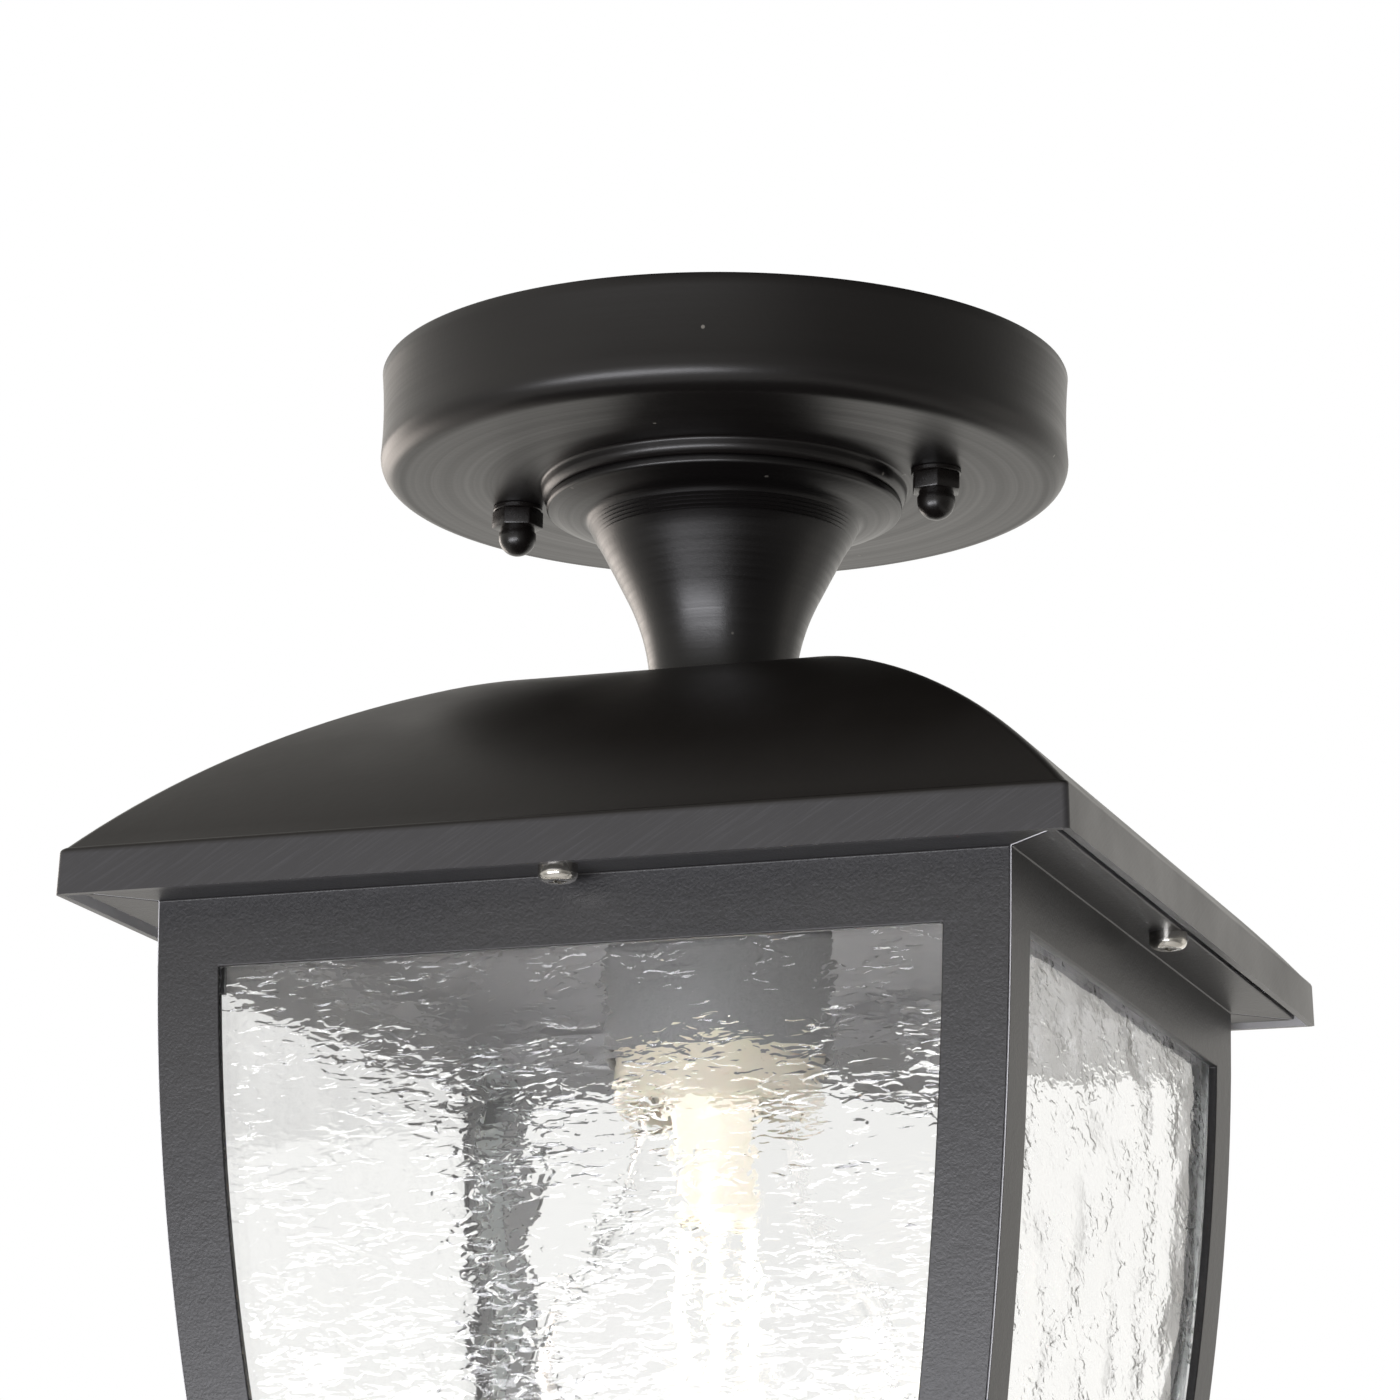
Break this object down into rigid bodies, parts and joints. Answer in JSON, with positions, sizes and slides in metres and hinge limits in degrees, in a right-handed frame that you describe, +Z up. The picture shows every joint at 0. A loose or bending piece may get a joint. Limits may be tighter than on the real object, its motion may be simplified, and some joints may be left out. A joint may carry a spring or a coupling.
{
  "type": "porch ceiling lantern",
  "caption": "Square porch ceiling lantern: round canopy, turned neck, pressed roof with a skirt, and an inward-curving metal cage with rippled glass round a clear filament lamp.",
  "frame": {"origin": "centre of the ceiling plane, midway between the two slots of the ceiling strap", "axes": "+Z up into the ceiling, -Y the lantern's front, +X to the right of a viewer in front of it"},
  "size_m": [0.17, 0.17, 0.2799],
  "materials": {
    "black_paint": "satin black paint over steel",
    "black_texture": "fine textured black powder coat",
    "dark_fastener": "black painted steel",
    "zinc_steel": "bright zinc plate",
    "green_screw": "green dyed zinc plate",
    "bright_screw": "bright nickel plate",
    "spring_steel": "plain spring steel",
    "glazed_ceramic": "cream glazed ceramic",
    "nickel_shell": "nickel-plated brass",
    "lead_sleeve": "black wire sleeve",
    "lead_sleeve_white": "white wire sleeve",
    "copper": "bare copper strands",
    "insulator_glass": "dark vitrite glass",
    "solder": "dull solder",
    "bulb_glass": "clear blown glass",
    "stem_glass": "pressed glass stem",
    "filament_glow": "lit yellow coated filament",
    "support_wire": "nickel wire",
    "water_glass": "clear rippled water glass"
  },
  "bodies": {
    "ceiling_strap": {"box_strap": "zinc_steel", "swivel_eyelet": "zinc_steel"},
    "lantern": {"stud_strap": "zinc_steel", "canopy_studs": "zinc_steel", "strap_lock_nuts": "zinc_steel", "ground_screw": "green_screw", "canopy": "black_paint", "neck": "black_paint", "nipple": "zinc_steel", "canopy_washer": "zinc_steel", "canopy_nipple_nut": "zinc_steel", "roof_washer": "zinc_steel", "roof_nipple_nut": "zinc_steel", "roof": "black_paint", "screw_tabs": "black_paint", "cage_screws": "bright_screw", "corner_angles": "black_paint", "glass_clips": "spring_steel", "lampholder_cup": "black_paint", "cup_upper_nut": "zinc_steel", "cup_lower_nut": "zinc_steel", "lampholder": "glazed_ceramic", "holder_screws": "zinc_steel", "screw_shell": "nickel_shell", "centre_contact": "nickel_shell", "line_lead": "lead_sleeve", "neutral_lead": "lead_sleeve_white", "lead_tips": "copper", "front_frame": "black_texture", "front_glass": "water_glass", "right_frame": "black_texture", "right_glass": "water_glass", "back_frame": "black_texture", "back_glass": "water_glass", "left_frame": "black_texture", "left_glass": "water_glass"},
    "lamp_tip": {"lamp_contact": "solder"},
    "lamp": {"lamp_cap": "nickel_shell", "lamp_insulator": "insulator_glass", "lamp_envelope": "bulb_glass", "lamp_stem": "stem_glass", "lamp_filaments": "filament_glow", "filament_supports": "support_wire"},
    "left_washer": {"left_washer": "dark_fastener"},
    "left_cap_nut": {"left_cap_nut": "dark_fastener"},
    "right_washer": {"right_washer": "dark_fastener"},
    "right_cap_nut": {"right_cap_nut": "dark_fastener"}
  },
  "joints": [
    {"name": "lantern_swivel", "type": "hinge", "parent": "ceiling_strap", "child": "lantern", "pos_m": [0, 0, -0.003], "axis": [0, 0, 1], "range_deg": [-65, 65]},
    {"name": "lamp_travel", "type": "slide", "parent": "lantern", "child": "lamp_tip", "axis": [0, 0, -1], "range_m": [0, 0.01815]},
    {"name": "lamp_turn", "type": "hinge", "parent": "lamp_tip", "child": "lamp", "pos_m": [0, 0, -0.102], "axis": [0, 0, -1], "range_deg": [0, 1800]},
    {"name": "left_nut_travel", "type": "slide", "parent": "lantern", "child": "left_washer", "axis": [0, 0, -1], "range_m": [0, 0.00476]},
    {"name": "left_nut_turn", "type": "hinge", "parent": "left_washer", "child": "left_cap_nut", "pos_m": [-0.0388, 0, -0.0205], "axis": [0, 0, -1], "range_deg": [0, 2160]},
    {"name": "right_nut_travel", "type": "slide", "parent": "lantern", "child": "right_washer", "axis": [0, 0, -1], "range_m": [0, 0.00476]},
    {"name": "right_nut_turn", "type": "hinge", "parent": "right_washer", "child": "right_cap_nut", "pos_m": [0.0388, 0, -0.0205], "axis": [0, 0, -1], "range_deg": [0, 2160]}
  ],
  "couplings": [
    {"joint": "lamp_turn", "follows": "lamp_travel", "rad_per_m": 1731.4},
    {"joint": "left_nut_turn", "follows": "left_nut_travel", "rad_per_m": 7915.8},
    {"joint": "right_nut_turn", "follows": "right_nut_travel", "rad_per_m": 7915.8}
  ]
}
